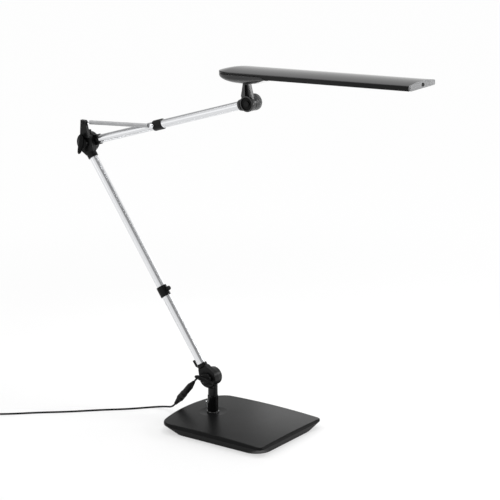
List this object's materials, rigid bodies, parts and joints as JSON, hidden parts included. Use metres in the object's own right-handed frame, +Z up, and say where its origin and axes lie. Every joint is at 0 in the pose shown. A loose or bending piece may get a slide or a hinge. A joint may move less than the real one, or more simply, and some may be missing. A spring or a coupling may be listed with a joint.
{
  "type": "desk lamp",
  "caption": "Desk lamp with a weighted base, swivel post, tube arms on clamp joints, a balance spring and a flat light bar that tilts and swivels.",
  "frame": {"origin": "on the table under the post's swivel axis", "axes": "+Z up, +X from the post towards the light bar's free end, the wing knobs on the -Y side"},
  "size_m": [0.8465, 0.2953, 0.6106],
  "materials": {
    "base_black": "satin with a fine grain",
    "joint_black": "satin",
    "gloss_black": "glossy",
    "tube_silver": "satin anodised",
    "grey_plastic": "satin",
    "spring_grey": "smooth satin",
    "steel": "machined",
    "bright_steel": "polished",
    "nylon": "matte",
    "rubber_black": "matte",
    "cord_black": "satin",
    "heat_aluminium": "mill",
    "board": "solder mask",
    "led_yellow": "glossy",
    "opal": "opal, matte",
    "driver_green": "solder mask",
    "brass_prong": "plain"
  },
  "bodies": {
    "base": {"base_pad": "rubber_black", "base_cover": "base_black", "base_plate": "joint_black", "base_weight": "steel", "base_screws": "steel", "post_bush": "gloss_black", "index_pin": "bright_steel", "pigtail": "cord_black", "dc_jack": "cord_black", "dc_plug": "cord_black", "floor_lead": "cord_black", "lead_coil": "cord_black", "coil_tie": "rubber_black", "adapter_body": "joint_black", "adapter_prongs": "brass_prong"},
    "post": {"post_spindle": "steel", "spindle_ring": "steel", "post_sleeve": "gloss_black", "swivel_post": "joint_black", "lead_grommet": "rubber_black", "lower_washer": "nylon", "lower_bolt": "steel"},
    "lower_knob": {"lower_wing_knob": "joint_black"},
    "lower_arm": {"lower_hub": "joint_black", "lower_tube": "tube_silver", "lower_wire": "cord_black", "lower_collar": "joint_black", "elbow_bracket": "joint_black", "hook_pin": "steel", "elbow_washer": "nylon", "elbow_bolt": "steel"},
    "collar_thumb_screw": {"thumb_screw": "joint_black"},
    "elbow_knob": {"elbow_wing_knob": "joint_black"},
    "upper_arm": {"upper_hub": "joint_black", "upper_tube": "tube_silver", "upper_wire": "cord_black", "upper_end": "joint_black", "spring_collar": "joint_black", "collar_screw": "steel", "spring_sleeve": "spring_grey", "balance_spring": "steel", "front_hook": "bright_steel", "rear_hook": "bright_steel"},
    "stem": {"head_stem": "joint_black", "head_washer": "nylon", "head_bolt": "steel", "stem_retainer": "steel"},
    "head_tilt_knob": {"head_knob": "grey_plastic"},
    "head": {"head_shell": "gloss_black", "head_pod": "gloss_black", "heat_spreader": "heat_aluminium", "led_board": "board", "leds": "led_yellow", "head_frame": "gloss_black", "diffuser": "opal", "driver_board": "driver_green", "end_cap": "grey_plastic"},
    "button": {"push_button": "joint_black"}
  },
  "joints": [
    {"name": "base_swivel", "type": "hinge", "parent": "base", "child": "post", "pos_m": [0, 0, 0.03], "axis": [0, 0, 1], "range_deg": [-45, 45], "deforming": ["pigtail"]},
    {"name": "lower_arm_tilt", "type": "hinge", "parent": "post", "child": "lower_arm", "pos_m": [0, -0.0109, 0.081], "axis": [0, 1, 0], "range_deg": [-15, 45]},
    {"name": "lower_knob_turn", "type": "hinge", "parent": "post", "child": "lower_knob", "pos_m": [0, -0.0109, 0.081], "axis": [0, -1, 0], "range_deg": [-90, 90]},
    {"name": "thumb_screw_turn", "type": "hinge", "parent": "lower_arm", "child": "collar_thumb_screw", "pos_m": [-0.09097, -0.0109, 0.2114], "axis": [0.8202, 0, 0.5721], "range_deg": [-180, 180]},
    {"name": "elbow_tilt", "type": "hinge", "parent": "lower_arm", "child": "upper_arm", "pos_m": [-0.2498, -0.0109, 0.43908], "axis": [0, -1, 0], "range_deg": [-26, 5], "deforming": ["rear_hook"]},
    {"name": "elbow_knob_turn", "type": "hinge", "parent": "lower_arm", "child": "elbow_knob", "pos_m": [-0.2498, -0.0109, 0.43908], "axis": [0, -1, 0], "range_deg": [-90, 90]},
    {"name": "head_tilt", "type": "hinge", "parent": "upper_arm", "child": "stem", "pos_m": [0.07855, -0.0109, 0.54166], "axis": [0, 1, 0], "range_deg": [-40, 30]},
    {"name": "head_knob_turn", "type": "hinge", "parent": "stem", "child": "head_tilt_knob", "pos_m": [0.07855, -0.0109, 0.54166], "axis": [0, 1, 0], "range_deg": [-90, 90]},
    {"name": "head_swivel", "type": "hinge", "parent": "stem", "child": "head", "pos_m": [0.07855, -0.0109, 0.54166], "axis": [-0.0436, 0, 0.999], "range_deg": [-90, 90]},
    {"name": "button_press", "type": "slide", "parent": "head", "child": "button", "axis": [-0.999, 0, -0.0436], "range_m": [0, 0.001], "stiffness_N_per_m": 400}
  ]
}
